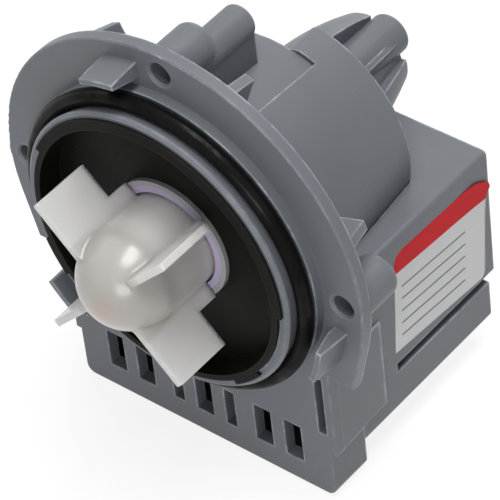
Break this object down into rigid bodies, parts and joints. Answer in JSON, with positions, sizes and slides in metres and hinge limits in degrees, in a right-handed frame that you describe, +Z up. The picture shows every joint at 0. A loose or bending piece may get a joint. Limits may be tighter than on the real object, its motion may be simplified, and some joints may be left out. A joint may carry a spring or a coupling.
{
  "type": "washing machine drain pump",
  "caption": "Synchronous drain pump with a flanged front housing, spigot and O-ring, bladed impeller on a magnet rotor, twin-coil stator and a box-shaped motor cover.",
  "frame": {"origin": "centre of the flange's front face, on the pump axis, midway between the two side screw holes", "axes": "+Y along the pump axis towards the motor's rear, so the impeller looks along -Y; +Z up, away from the grille plate; +X to the right, seen from the impeller's side"},
  "size_m": [0.084, 0.0863, 0.0955],
  "materials": {
    "grey_housing": "satin moulded polypropylene",
    "grey_cover": "satin moulded polypropylene",
    "black_plastic": "satin moulded",
    "black_rubber": "wet-looking moulded rubber",
    "lavender_rubber": "matt",
    "can_plastic": "satin",
    "white_plastic": "glossy, slightly translucent",
    "natural_nylon": "satin",
    "ground_steel": "ground",
    "ferrite": "matt sintered",
    "bearing_ceramic": "ground",
    "washer_plastic": "smooth",
    "core_steel": "stacked sheet edges",
    "enamelled_copper": "enamelled winding",
    "bobbin_plastic": "satin",
    "socket_plastic": "satin",
    "tinned_brass": "tinned"
  },
  "bodies": {
    "pump_body": {"front_housing": "grey_housing", "motor_cover": "grey_cover", "o_ring_seal": "black_rubber", "chamber_back_plate": "black_plastic", "rotor_can": "can_plastic", "lip_seal": "lavender_rubber", "front_bearing": "bearing_ceramic", "front_bearing_mount": "black_rubber", "rear_bearing": "bearing_ceramic", "rear_bearing_mount": "black_rubber", "right_stator_leg": "core_steel", "left_stator_leg": "core_steel", "stator_yoke": "core_steel", "right_coil_bobbin": "bobbin_plastic", "left_coil_bobbin": "bobbin_plastic", "right_coil_winding": "enamelled_copper", "left_coil_winding": "enamelled_copper", "thermal_protector": "black_plastic", "terminal_socket": "socket_plastic", "supply_terminals": "tinned_brass"},
    "rotor": {"rotor_shaft": "ground_steel", "rotor_magnet": "ferrite", "magnet_sleeve": "natural_nylon", "front_thrust_washer": "washer_plastic", "rear_thrust_washer": "washer_plastic", "drive_dog": "natural_nylon"},
    "impeller_wheel": {"impeller": "white_plastic", "impeller_stop_pads": "black_rubber", "impeller_hub_plug": "white_plastic"}
  },
  "joints": [
    {"name": "rotor_spin", "type": "hinge", "parent": "pump_body", "child": "rotor", "pos_m": [0, 0.02, 0], "axis": [0, 1, 0], "continuous": true},
    {"name": "impeller_play", "type": "hinge", "parent": "rotor", "child": "impeller_wheel", "pos_m": [0, -0.01, 0], "axis": [0, 1, 0], "range_deg": [-134, 134]}
  ]
}
